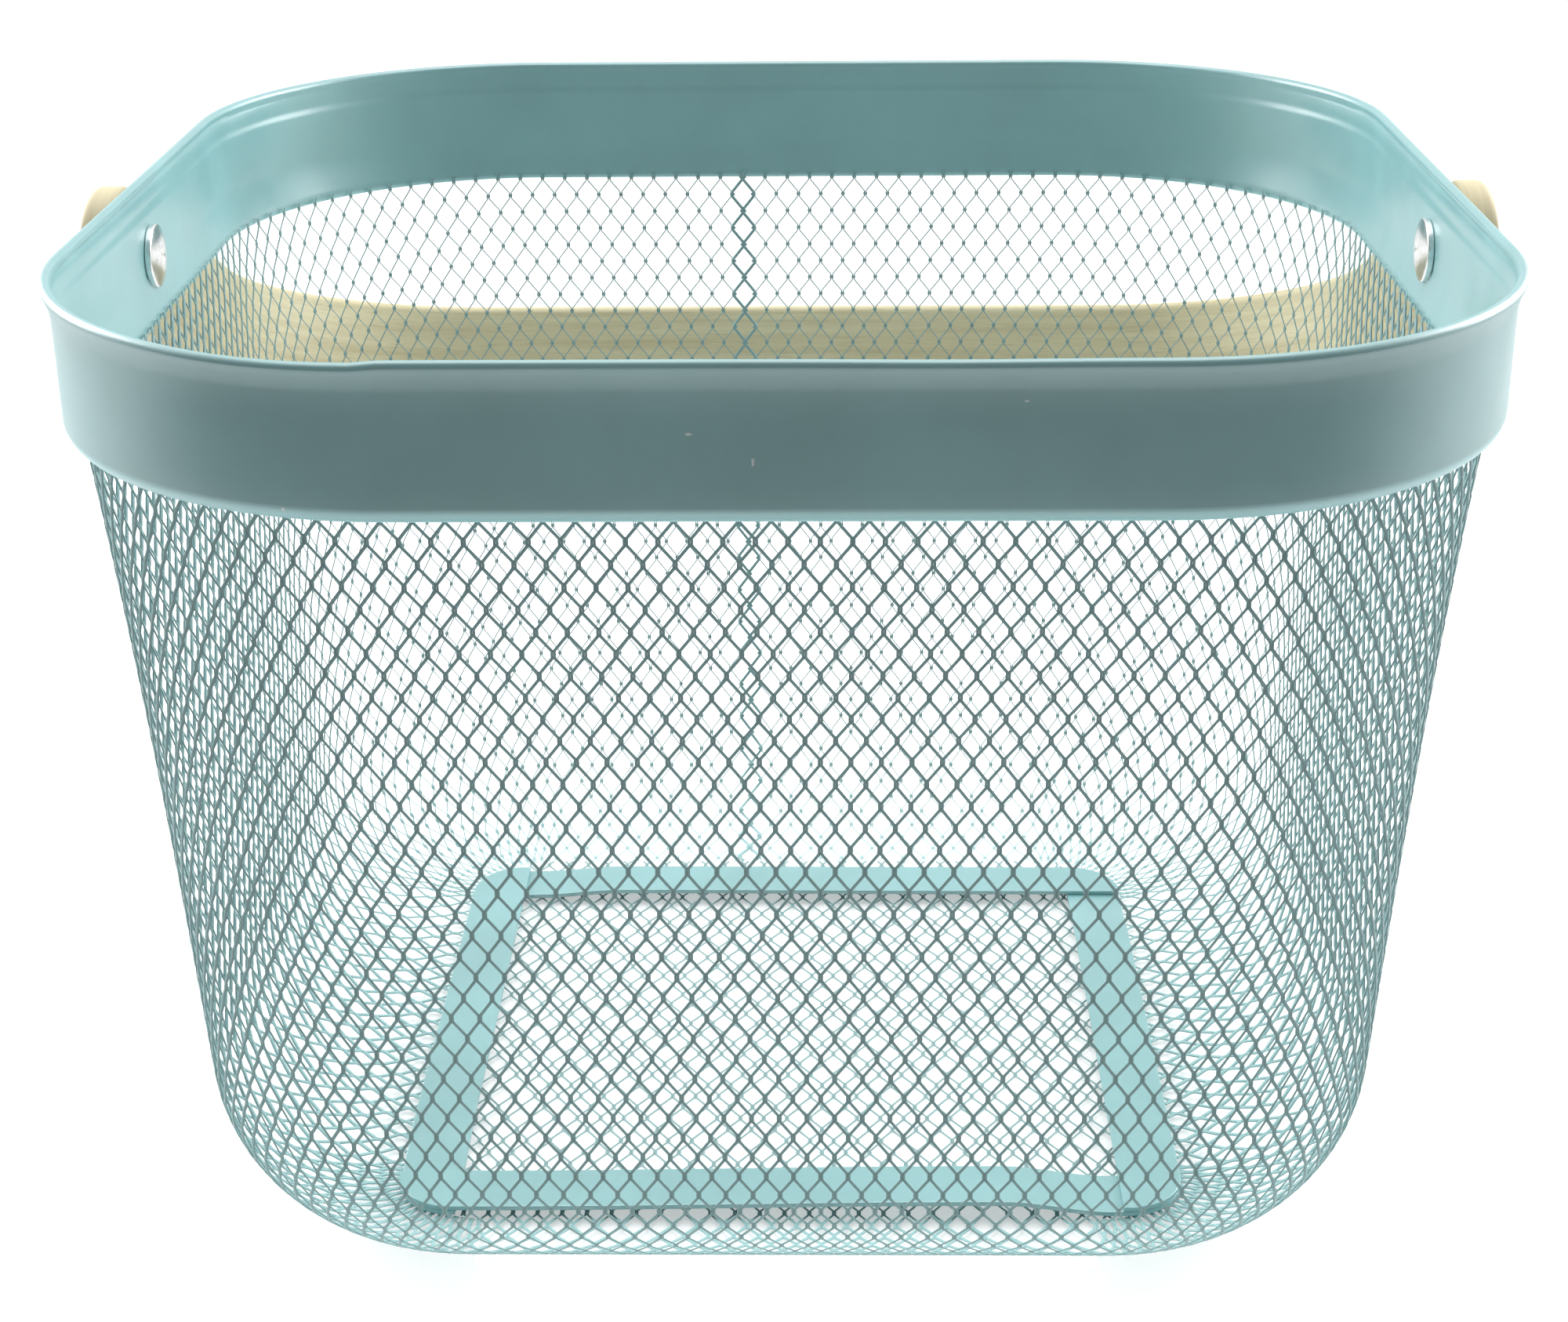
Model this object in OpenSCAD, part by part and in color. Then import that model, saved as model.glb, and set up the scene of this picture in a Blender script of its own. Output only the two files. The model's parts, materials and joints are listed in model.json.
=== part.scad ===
// Produce basket: a sheet metal rim band, a tapered tub of diamond expanded mesh with a flat floor,
// a frame of flat strips on the floor and a bentwood bow handle that swings on two rivets.
// The origin is at the centre of the underside, +Z is up, the front is at -Y and the rivets lie along X.

/* [Rim band] */
// Width over the rim lip, left to right
rim_w = 246; // [220:1:280]
// Depth over the rim lip, front to back
rim_d = 240; // [215:1:270]
// Height of the rim above the surface the basket stands on
rim_h = 182.8; // [150:0.1:220]
// Corner radius of the rim lip, seen from above
corner_r = 65; // [60:1:80]
// Height of the sheet band
band_h = 26; // [22:0.5:32]
// Thickness of the band sheet
sheet_t = 0.9; // [0.7:0.1:1.2]
// How far the lip flares out past the band
lip_flare = 1.3; // [0.8:0.1:2]
// Height of the flared lip
lip_h = 6; // [4:0.5:7]
// Radius of the round bead along the top of the lip
lip_r = 0.95; // [0.8:0.05:1.2]
// Outer radius of the turned-in lower edge
curl_r = 3; // [2.5:0.5:4.5]
// Angle through which the lower edge turns in
curl_angle = 75; // [50:1:80]

/* [Mesh tub] */
// Taper of the mesh wall from upright, in degrees
wall_taper = 4.5; // [2:0.5:8]
// Radius of the bend between wall and floor
bend_r = 33; // [25:1:40]
// Thickness of the mesh
mesh_t = 0.8; // [0.6:0.1:1.2]
// Width of a mesh strand
strand_w = 1.6; // [1.2:0.1:2.4]
// How far the mesh reaches up behind the lower edge of the band
mesh_tuck = 1.6; // [1:0.2:3]
// Diamonds across the flat of the front and of the back
cols_front = 7; // [5:1:8]
// Diamonds across the flat of each side
cols_side = 7; // [5:1:8]
// Diamonds around each corner
cols_corner = 6; // [4:1:7]
// Rows of diamonds from the band down to the floor
rows = 7; // [5:1:8]
// Width of a floor diamond
floor_cell_w = 16; // [12:1:24]
// Length of a floor diamond
floor_cell_l = 25; // [18:1:32]

/* [Floor frame] */
// Distance from the edge of the flat floor to the frame, at the left and right
frame_inset_x = 0.5; // [0.5:0.5:10]
// Distance from the edge of the flat floor to the frame, at the front
frame_inset_front = 0.5; // [0.5:0.5:10]
// Distance from the edge of the flat floor to the frame, at the back
frame_inset_back = 7.5; // [3:0.5:20]
// Width of a strip
strip_w = 12; // [8:0.5:16]
// Thickness of a strip
strip_t = 1; // [0.6:0.1:1.6]
// Outer corner radius of the frame
frame_corner_r = 11; // [8:0.5:12]
// Gap between the flat floor and the strips that lie over it
strip_gap = 0.1; // [0.1:0.1:0.4]
// How far the front strip bows up before its tucked end
front_bow = 1.2; // [0:0.1:2]
// How far the other strips bow up before their tucked ends
strip_bow = 0.3; // [0:0.1:2]

/* [Handle] */
// Width of the wooden strap
strap_w = 26; // [20:1:30]
// Thickness of the wooden strap
strap_t = 7; // [5:0.5:9]
// Rounding of the strap's edges
strap_edge_r = 2; // [1:0.25:2.25]
// How far the inner face of the crosspiece swings clear of the lip
bow_clear = 10; // [8:0.5:25]
// Inner radius of the bow's two bends
bow_r = 50; // [40:1:60]

/* [Rivets] */
// Diameter of the rivet shank
shank_d = 5; // [4:0.1:6]
// Diameter of the domed head inside the band
head_d = 12; // [10:0.5:12.5]
// Height of the head's straight edge
head_edge = 1.2; // [0.8:0.1:1.6]
// Rise of the head's dome above its edge
head_rise = 1; // [0.6:0.1:1.4]
// Diameter of the small dimple in the head
dimple_d = 2.6; // [2:0.1:3.2]
// Depth of the small dimple in the head
dimple_depth = 0.5; // [0.3:0.1:0.8]
// Diameter of the spacer between band and handle
spacer_d = 12; // [9:0.5:12]
// Thickness of the spacer between band and handle
spacer_t = 2; // [1.8:0.1:4]
// Diameter of the washer outside the handle
washer_d = 12; // [10:0.5:16]
// Thickness of the washer outside the handle
washer_t = 1; // [0.6:0.1:1.5]
// Diameter of the rolled-over rivet end
tail_d = 8.5; // [7:0.5:10]
// Height of the rolled-over rivet end
tail_h = 1.6; // [1.2:0.1:2.5]
// Diameter of the hollow in the rivet end
hollow_d = 3; // [2:0.1:3.4]
// Depth of the hollow in the rivet end
hollow_depth = 3; // [2:0.5:5]

/* [Clearances] */
// Gap between mesh and band where the mesh is tucked in
tuck_gap = 0.15; // [0.1:0.05:0.3]
// Side clearance of the handle between spacer and washer
side_gap = 0.3; // [0.2:0.05:0.5]
// Radial clearance of the rivet shank in the handle
pivot_gap = 0.08; // [0.05:0.01:0.1]
// Radial clearance of the rivet shank in band, spacer and washer
shank_gap = 0.03; // [0.02:0.01:0.05]
// Gap left between the resting crosspiece and the mesh wall
rest_gap = 0.3; // [0.2:0.1:1]

/* [Hidden] */
$fn = 48;

paint = [0.56, 0.74, 0.74];
paint_mesh = [0.52, 0.70, 0.70];
birch = [0.86, 0.76, 0.58];
plated = [0.80, 0.80, 0.80];
nylon = [0.90, 0.90, 0.88];

// Every level of the basket is the core rectangle grown outward by a distance r.
core_x = rim_w / 2 - corner_r;
core_y = rim_d / 2 - corner_r;

// Distances r of the band's faces, and its levels.
band_out = corner_r - lip_flare;
band_in = band_out - sheet_t;
lip_in = corner_r - 2 * lip_r;
band_foot = rim_h - band_h;
curl_z = band_foot + curl_r * sin(curl_angle);
lip_z = rim_h - lip_h;
hem_rise = lip_in - band_in;

// The mesh starts behind the tip of the turned-in edge. Its wall line and bend are at mid thickness.
curl_tip = band_out - curl_r + (curl_r - sheet_t) * cos(curl_angle);
mesh_top_z = band_foot + mesh_tuck;
mesh_top_r = curl_tip - tuck_gap - mesh_t / 2;
bend_z = mesh_t / 2 + bend_r;
bend_c = mesh_top_r + (-bend_r + (bend_z - mesh_top_z) * sin(wall_taper)) / cos(wall_taper);
wall_len = (mesh_top_z - bend_z + bend_r * sin(wall_taper)) / cos(wall_taper);
mesh_len = wall_len + bend_r * (90 - wall_taper) * PI / 180;

// Columns are counted round the tub from the left end of the front, in runs of flats and corners.
run_cols = [cols_front, cols_corner, cols_side, cols_corner, cols_front, cols_corner, cols_side, cols_corner];
run_start = [for (k = [0 : 8]) run_sum(k)];
half_rows = 2 * rows;

// The diamonds of the wall end at the last half row above the bend, where those of the rounded foot begin.
foot_row = floor(half_rows * wall_len / mesh_len);

// Half diamonds are shrunk by the strand to leave the hole.
half_w = core_x / cols_front;
half_l = mesh_len / half_rows;
hole_share = 1 - strand_w / 2 * sqrt(1 / pow(half_w, 2) + 1 / pow(half_l, 2));
floor_share = 1 - strand_w * sqrt(1 / pow(floor_cell_w, 2) + 1 / pow(floor_cell_l, 2));

// The handle hangs on the pivots outside the lip, and its rest angle is where it meets the back wall.
// The pivots sit halfway up the flat of the band.
pivot_z = (curl_z + lip_z) / 2;
band_x = core_x + band_out;
strap_in = band_x + spacer_t + side_gap;
strap_mid = strap_in + strap_t / 2;
washer_x = strap_in + strap_t + side_gap;
tail_x = washer_x + washer_t;
bow_mid_r = bow_r + strap_t / 2;
bow_reach = rim_d / 2 + bow_clear;
bow_mid_reach = bow_reach + strap_t / 2;
wall_y = core_y + mesh_top_r + (pivot_z - mesh_top_z) * tan(wall_taper);
wall_reach = wall_y * cos(wall_taper) + mesh_t / 2 + rest_gap;
edge_reach = sqrt(pow(bow_reach, 2) + pow(strap_w / 2, 2));
rest_angle = wall_taper + acos(wall_reach / edge_reach) - atan(strap_w / 2 / bow_reach);

// The frame lies on the flat floor inside the bend.
floor_top = mesh_t;
frame_w = 2 * (core_x + bend_c - frame_inset_x);
frame_d = 2 * (core_y + bend_c) - frame_inset_front - frame_inset_back;
frame_y = (frame_inset_front - frame_inset_back) / 2;
strip_lap = strip_w + 2;
strip_crest = 0.77;
strip_steps = 8;

function run_sum(k) = k == 0 ? 0 : run_sum(k - 1) + run_cols[k - 1];

// Distance r, level and outward normal of the mesh at a length s down from its top.
function wall_point(s) = [mesh_top_r - s * sin(wall_taper), mesh_top_z - s * cos(wall_taper), wall_taper];
function bend_point(a) = [bend_c + bend_r * cos(a), bend_z - bend_r * sin(a), a];
function mesh_profile(s) =
    s <= wall_len ? wall_point(s) : bend_point(wall_taper + (s - wall_len) / bend_r * 180 / PI);

// Corner of the core rectangle where a run starts, and the outward direction there.
function run_corner(k) = [(k == 0 || k > 4 ? -1 : 1) * core_x, (k < 3 || k > 6 ? -1 : 1) * core_y];
function run_angle(k) = -90 + 90 * floor(k / 2);

// Run that holds column c, the foot of that column on the core rectangle and its outward direction.
function run_of(c, k = 0) = c < run_start[k + 1] || k == 7 ? k : run_of(c, k + 1);
function column(c) =
    let (whole = run_start[8],
         cc = c < 0 ? c + whole : c >= whole ? c - whole : c,
         k = run_of(cc),
         t = (cc - run_start[k]) / run_cols[k],
         here = run_corner(k),
         next = run_corner((k + 1) % 8),
         turn = k % 2 == 1 ? 90 * t : 0)
    [here + t * (next - here), run_angle(k) + turn];

// Point of the mesh at half column i and half row j, moved out by d along the normal.
function mesh_point(i, j, d) =
    let (f = column(i / 2), p = mesh_profile(j * mesh_len / half_rows), r = p[0] + d * cos(p[2]))
    [f[0][0] + r * cos(f[1]), f[0][1] + r * sin(f[1]), p[1] - d * sin(p[2])];

// Rounded rectangle with exact corner arcs, centred.
module round_rect(w, h, r) {
    square([w, h - 2 * r], center = true);
    square([w - 2 * r, h], center = true);
    for (x = [-1, 1], y = [-1, 1])
        translate([x * (w / 2 - r), y * (h / 2 - r)])
            circle(r);
}

// Outline of the core rectangle grown by r.
module grown_core(r) {
    round_rect(2 * (core_x + r), 2 * (core_y + r), r);
}

// Carries a profile drawn as distance r and level round the grown core rectangle.
module around_core() {
    for (mx = [0, 1])
        mirror([mx, 0, 0]) {
            translate([core_x, 0, 0])
                rotate([90, 0, 0])
                    linear_extrude(2 * core_y, center = true)
                        children();
            for (my = [0, 1])
                mirror([0, my, 0])
                    translate([core_x, core_y, 0])
                        rotate_extrude(angle = 90)
                            children();
        }
    for (my = [0, 1])
        mirror([0, my, 0])
            translate([0, core_y, 0])
                rotate([90, 0, 90])
                    linear_extrude(2 * core_x, center = true)
                        children();
}

// Section of the band: flat sheet, flared lip with a round bead, and the lower edge turned in.
module band_section() {
    polygon([[band_in, curl_z], [band_out, curl_z], [band_out, lip_z], [corner_r, rim_h - lip_r],
             [lip_in, rim_h - lip_r], [lip_in, lip_z + hem_rise], [band_in, lip_z]]);
    translate([corner_r - lip_r, rim_h - lip_r])
        circle(lip_r);
    translate([band_out - curl_r, curl_z])
        intersection() {
            difference() {
                circle(curl_r);
                circle(curl_r - sheet_t);
            }
            polygon([[0, 0], [2 * curl_r, 0], [2 * curl_r, -2 * curl_r * tan(curl_angle)]]);
        }
}

// Turns a piece that is drawn along +Z from the core's side so that it runs outward along X on one side.
module on_pivot(side) {
    translate([0, 0, pivot_z])
        rotate([0, 90 * side, 0])
            children();
}

module rim_band() {
    color(paint)
        difference() {
            around_core()
                band_section();
            for (side = [-1, 1])
                on_pivot(side)
                    translate([0, 0, core_x])
                        cylinder(d = shank_d + 2 * shank_gap, h = corner_r + lip_flare);
        }
}

// Diamond lattice over one run of columns, between two half rows. Each strand has a ridge on both faces and
// thin edges at the holes. Where two panels meet, both cut the shared faces along the same diagonal.
module mesh_panel(run, top, bottom) {
    first = 2 * run_start[run];
    last = 2 * run_start[run + 1] - 1;
    cells = [for (i = [first : last], j = [top : bottom]) if ((i + j) % 2 == 1) [i, j]];
    step = [[0, -1], [1, 0], [0, 1], [-1, 0]];
    points = [for (c = cells) each concat(
        [for (e = step) mesh_point(c[0] + e[0], c[1] + e[1], mesh_t / 2)],
        [for (e = step) mesh_point(c[0] + e[0], c[1] + e[1], -mesh_t / 2)],
        [for (e = step) mesh_point(c[0] + hole_share * e[0], c[1] + hole_share * e[1], 0)])];
    faces = [for (n = [0 : len(cells) - 1], e = [0 : 3])
        let (q = (e + 1) % 4,
             b = 12 * n,
             i = cells[n][0] + step[e][0] + step[q][0],
             j = cells[n][1] + step[e][1] + step[q][1],
             edge = i < first || i > last || j < top || j > bottom)
        each concat(
            [[b + e, b + q, b + 8 + q], [b + e, b + 8 + q, b + 8 + e]],
            [[b + 4 + q, b + 4 + e, b + 8 + e], [b + 4 + q, b + 8 + e, b + 8 + q]],
            !edge ? [] :
            e < 2 ? [[b + q, b + e, b + 4 + e], [b + q, b + 4 + e, b + 4 + q]] :
            [[b + q, b + e, b + 4 + q], [b + e, b + 4 + e, b + 4 + q]])];
    color(paint_mesh)
        polyhedron(points, faces, convexity = 10);
}

module mesh_wall(run) {
    mesh_panel(run, 1, foot_row - 1);
}

module mesh_foot(run) {
    mesh_panel(run, foot_row, half_rows - 1);
}

// Flat floor: a border strand round a pattern of diamond holes.
module mesh_floor() {
    nx = ceil(2 * (core_x + bend_c) / floor_cell_w);
    ny = ceil(2 * (core_y + bend_c) / floor_cell_l);
    a = floor_share * floor_cell_w / 2;
    b = floor_share * floor_cell_l / 2;
    color(paint_mesh)
        linear_extrude(mesh_t)
            difference() {
                grown_core(bend_c);
                intersection() {
                    grown_core(bend_c - strand_w);
                    union()
                        for (i = [-nx : nx], j = [-ny : ny])
                            if ((i + j) % 2 != 0)
                                translate([i * floor_cell_w / 2, j * floor_cell_l / 2])
                                    polygon([[a, 0], [0, b], [-a, 0], [0, -b]]);
                }
            }
}

// Height of a strip above the floor at u along it. Its first end lies on its neighbour, then it bows up to
// a crest and drops to the floor, where its last end lies under the next neighbour.
function strip_lift(u, long, bow) =
    let (crest = long * strip_crest, tuck = long - strip_lap)
    u <= strip_lap ? strip_t
    : u <= crest ? strip_t + bow * (1 - cos(180 * (u - strip_lap) / (crest - strip_lap))) / 2
    : u < tuck ? (strip_t + bow) * (1 + cos(180 * (u - crest) / (tuck - crest))) / 2
    : 0;

// One strip of the frame, drawn along the front, turned to its side and cut by the frame's rounded
// outline. The four strips lie one over the next all the way round.
module frame_strip(turn, long, deep, bow) {
    crest = long * strip_crest;
    tuck = long - strip_lap;
    steps = concat([0, strip_lap],
                   [for (i = [1 : strip_steps]) strip_lap + (crest - strip_lap) * i / strip_steps],
                   [for (i = [1 : strip_steps]) crest + (tuck - crest) * i / strip_steps],
                   [long]);
    low = [for (u = steps) [u, strip_lift(u, long, bow)]];
    high = [for (i = [len(low) - 1 : -1 : 0]) low[i] + [0, strip_t]];
    color(paint)
        translate([0, frame_y, floor_top + strip_gap])
            intersection() {
                rotate([0, 0, turn])
                    translate([-long / 2, strip_w - deep / 2, 0])
                        rotate([90, 0, 0])
                            linear_extrude(strip_w)
                                polygon(concat(low, high));
                linear_extrude(4 * strip_t + bow)
                    round_rect(frame_w, frame_d, frame_corner_r);
            }
}

// Wooden bow, drawn flat with its arms along +Y, then let down to its rest angle behind the basket.
module handle_bow() {
    color(birch)
        translate([0, 0, pivot_z])
            rotate([-rest_angle, 0, 0])
                difference() {
                    bow_strap();
                    rotate([0, 90, 0])
                        cylinder(d = shank_d + 2 * pivot_gap, h = 4 * strap_mid, center = true);
                }
}

module bow_strap() {
    straight = bow_mid_reach - bow_mid_r;
    for (side = [0, 1])
        mirror([side, 0, 0]) {
            translate([strap_mid, 0, 0])
                rotate([-90, 0, 0])
                    linear_extrude(straight)
                        round_rect(strap_t, strap_w, strap_edge_r);
            translate([strap_mid, 0, 0])
                strap_end();
            translate([strap_mid - bow_mid_r, straight, 0])
                rotate_extrude(angle = 90)
                    translate([bow_mid_r, 0])
                        round_rect(strap_t, strap_w, strap_edge_r);
        }
    translate([0, bow_mid_reach, 0])
        rotate([90, 0, 90])
            linear_extrude(2 * (strap_mid - bow_mid_r), center = true)
                round_rect(strap_t, strap_w, strap_edge_r);
}

// Half-round end of an arm, turned about the pivot with the strap's own rounded edge.
module strap_end() {
    rotate([0, 90, 0])
        rotate([0, 0, 180])
            rotate_extrude(angle = 180)
                intersection() {
                    round_rect(strap_w, strap_t, strap_edge_r);
                    translate([0, -strap_t])
                        square([strap_w, 2 * strap_t]);
                }
}

// Rivet drawn along +Z: domed head inside the band, shank, and hollow end rolled over the outer washer.
module rivet(side) {
    seat = core_x + band_in;
    dome_r = (pow(head_d / 2, 2) + pow(head_rise, 2)) / (2 * head_rise);
    dome_top = seat - head_edge - head_rise;
    color(plated)
        on_pivot(side)
            difference() {
                rotate_extrude() {
                    intersection() {
                        translate([0, dome_top + dome_r])
                            circle(dome_r, $fn = 96);
                        translate([0, dome_top])
                            square([head_d / 2, seat - dome_top]);
                    }
                    translate([0, seat])
                        square([shank_d / 2, tail_x - seat]);
                    translate([0, tail_x])
                        square([tail_d / 2, tail_h / 2]);
                    translate([0, tail_x + tail_h / 2])
                        square([(tail_d - tail_h) / 2, tail_h / 2]);
                    translate([(tail_d - tail_h) / 2, tail_x + tail_h / 2])
                        intersection() {
                            circle(tail_h / 2);
                            square(tail_h);
                        }
                }
                translate([0, 0, tail_x + tail_h - hollow_depth])
                    cylinder(d = hollow_d, h = 2 * hollow_depth);
                translate([0, 0, dome_top - dimple_depth])
                    cylinder(d = dimple_d, h = 2 * dimple_depth);
            }
}

module ring(side, x, d, t) {
    on_pivot(side)
        translate([0, 0, x])
            difference() {
                cylinder(d = d, h = t);
                translate([0, 0, -t])
                    cylinder(d = shank_d + 2 * shank_gap, h = 3 * t);
            }
}

module spacer(side) {
    color(nylon)
        ring(side, band_x, spacer_d, spacer_t);
}

module washer(side) {
    color(plated)
        ring(side, washer_x, washer_d, washer_t);
}

rim_band();
mesh_wall(0);  // mesh_front
mesh_wall(1);  // mesh_front_right
mesh_wall(2);  // mesh_right
mesh_wall(3);  // mesh_back_right
mesh_wall(4);  // mesh_back
mesh_wall(5);  // mesh_back_left
mesh_wall(6);  // mesh_left
mesh_wall(7);  // mesh_front_left
mesh_foot(0);  // foot_front
mesh_foot(1);  // foot_front_right
mesh_foot(2);  // foot_right
mesh_foot(3);  // foot_back_right
mesh_foot(4);  // foot_back
mesh_foot(5);  // foot_back_left
mesh_foot(6);  // foot_left
mesh_foot(7);  // foot_front_left
mesh_floor();
frame_strip(0, frame_w, frame_d, front_bow);  // frame_strip_front
frame_strip(180, frame_w, frame_d, strip_bow);  // frame_strip_back
frame_strip(-90, frame_d, frame_w, strip_bow);  // frame_strip_left
frame_strip(90, frame_d, frame_w, strip_bow);  // frame_strip_right
handle_bow();
rivet(-1);  // rivet_left
rivet(1);  // rivet_right
spacer(-1);  // spacer_left
spacer(1);  // spacer_right
washer(-1);  // washer_left
washer(1);  // washer_right
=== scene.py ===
import json
import math
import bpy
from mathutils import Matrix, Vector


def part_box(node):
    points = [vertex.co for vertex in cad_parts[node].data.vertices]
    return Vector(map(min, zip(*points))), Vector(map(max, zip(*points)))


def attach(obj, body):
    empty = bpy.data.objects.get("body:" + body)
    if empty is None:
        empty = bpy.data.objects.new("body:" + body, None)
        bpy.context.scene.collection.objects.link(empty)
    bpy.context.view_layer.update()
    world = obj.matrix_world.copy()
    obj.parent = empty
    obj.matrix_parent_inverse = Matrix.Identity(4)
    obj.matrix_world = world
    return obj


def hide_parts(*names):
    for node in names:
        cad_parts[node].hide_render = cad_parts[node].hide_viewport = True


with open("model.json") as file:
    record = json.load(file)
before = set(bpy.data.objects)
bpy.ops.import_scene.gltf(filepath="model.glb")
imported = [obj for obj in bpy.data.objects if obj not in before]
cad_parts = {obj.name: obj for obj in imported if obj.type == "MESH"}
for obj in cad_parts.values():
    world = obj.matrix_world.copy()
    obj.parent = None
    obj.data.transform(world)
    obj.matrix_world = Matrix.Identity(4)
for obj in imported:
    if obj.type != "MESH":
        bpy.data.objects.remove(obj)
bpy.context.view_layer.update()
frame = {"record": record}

from types import SimpleNamespace

import bpy
import numpy as np
from bpy.props import FloatProperty, FloatVectorProperty, IntProperty, PointerProperty
from bpy.types import Operator, Panel, PropertyGroup
from mathutils import Matrix, Vector

RIM_LOW, RIM_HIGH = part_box("rim_band")
PIVOT = frame["record"]["behaviour"]["joints"][0]

bl_info = {
    "name": "Produce Basket",
    "version": (1, 0, 0),
    "blender": (4, 5, 0),
    "location": "View3D > Sidebar > Basket",
    "description": "Dresses a mesh produce basket with a wooden bow handle around its packed solids",
    "category": "Object",
}

RUNS = ("front", "front_right", "right", "back_right", "back", "back_left", "left", "front_left")
SIDES = {"left": -1, "right": 1}

# Points along a flat and round a corner of the band.
FLAT_STEPS, CORNER_STEPS = 40, 24
# Powers that shape the flare of the lip, the ramp inside the band and the waist of the wall.
FLARE_CURVE, RAMP_CURVE, WAIST_CURVE = 1.6, 1.3, 0.8
# Where the hem under the bead turns, outward and up from its lower edge.
HEM_EDGE = (0.0002, 0.0004)
# How steeply the groove under the bead closes from the sides towards the back.
CLOSING = 1.6
# Dents in the lip: place round the rim as core_walk counts it, width there, and share of the dip.
LIP_DENTS = ((7.82, 0.28, 1.0), (0.72, 0.15, 0.35))

# Section of a strand: six corners, in halves of its width and of its thickness.
STRAND_SECTION = np.array([[1, 0], [0.72, 1], [-0.72, 1], [-1, 0], [-0.72, -1], [0.72, -1]])
# Rings of a ribbon on both sides of a bond's middle, in shares of the bond.
KNOT_INNER, KNOT_OUTER = 0.6, 1.6
# Shares of the way round at which the strands change width: plain, widest, widest and thinnest.
STRAND_STOPS = (0.12, 0.2, 0.26, 0.36)

# Points along half the crosspiece, a bend, an arm and a rounded end of the strap, and on each rounded edge.
CROSS_STEPS, BEND_STEPS, ARM_STEPS, END_STEPS, EDGE_STEPS = 29, 40, 23, 23, 8

# Broken edge of a turned piece, and the radius at which a profile that reaches its axis is capped.
BREAK, AXIS_GAP = 0.0002, 0.00008

# Chips in the band's coat: x, y and z, radius, how much taller than wide, and tone (dark below zero).
BAND_CHIPS = (
    (0.0713, -0.1187, 0.1637, 0.00030, 4.0, -0.25),
    (-0.0128, -0.1187, 0.1713, 0.00042, 0.6, 1.25),
    (-0.0034, -0.1187, 0.1670, 0.00026, 2.2, 1.15),
    (0.0367, -0.1187, 0.1762, 0.00034, 0.5, 1.2),
    (-0.0905, -0.1085, 0.1688, 0.00030, 1.2, 1.15),
    (-0.0740, -0.1165, 0.1590, 0.00032, 1.0, 1.3),
    (0.1217, 0.0310, 0.1655, 0.00036, 1.5, 1.2),
    (-0.0460, 0.1187, 0.1690, 0.00034, 1.0, 1.2),
)
# How far noise shakes the outline of a chip, and its soft edge, in radii.
CHIP_SHAKE, CHIP_EDGE = 1.6, 0.3
# Painted bounce light: how much lighter the coat is painted where the sheet is turned under and low on the
# mesh's bend, standing in for light from the floor.
BOUNCE_LIGHT_TONE = 1.55

# Ramps of the stage: two distances, places or directions, and the tone or strength at each (else 0 and 1).
FLOOR_TONE, FLOOR_WHITE, FLOOR_MIRRORED = (0.2, 0.55, 0.75, 0.26), (0.15, 0.55, 0.42, 0.85), (-0.35, -0.05)
WORLD_SOFT, WORLD_MIRRORED = (-0.5, 0.5, 0.15, 0.75), (-0.6, 0.1, 0.15, 1.0)
# Half side of the floor, points along a side, and how far it lies under the basket.
FLOOR_HALF, FLOOR_POINTS, FLOOR_DROP = 3, 13, 0.0006
# Lamps: name, place, aim, size and power.
LAMPS = (
    ("lamp_left", (-0.95, 0.5, 0.5), (0, 0, 0.1), 0.9, 13.0),
    ("lamp_right", (0.95, 0.5, 0.5), (0, 0, 0.1), 0.9, 13.0),
    ("lamp_top", (0.0, 0.2, 1.3), (0, 0, 0.05), 1.2, 8.5),
)
# Camera: place, then yaw, pitch and roll in degrees, then lens and sensor in millimetres.
CAMERA_PLACE, CAMERA_TURN = (0.00781, -0.48157, 0.29059), (-1.083, 23.201, -0.516)
CAMERA_LENS, CAMERA_SENSOR = 59.5, 36


def length(name, description, default):
    """A length in metres for a property group."""
    return FloatProperty(name=name, description=description, default=default, precision=5, unit="LENGTH")


def angle(name, description, degrees):
    """An angle for a property group, given in degrees."""
    return FloatProperty(name=name, description=description, default=math.radians(degrees), subtype="ANGLE")


def share(name, description, default):
    """A factor between 0 and 1 for a property group."""
    return FloatProperty(name=name, description=description, default=default, min=0, max=1, subtype="FACTOR")


def colour(name, description, rgb):
    """A scene-linear colour for a property group."""
    return FloatVectorProperty(name=name, description=description, default=rgb, size=3, min=0, max=1,
                               subtype="COLOR")


def number(name, description, default):
    """A plain number for a property group."""
    return FloatProperty(name=name, description=description, default=default)


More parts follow.
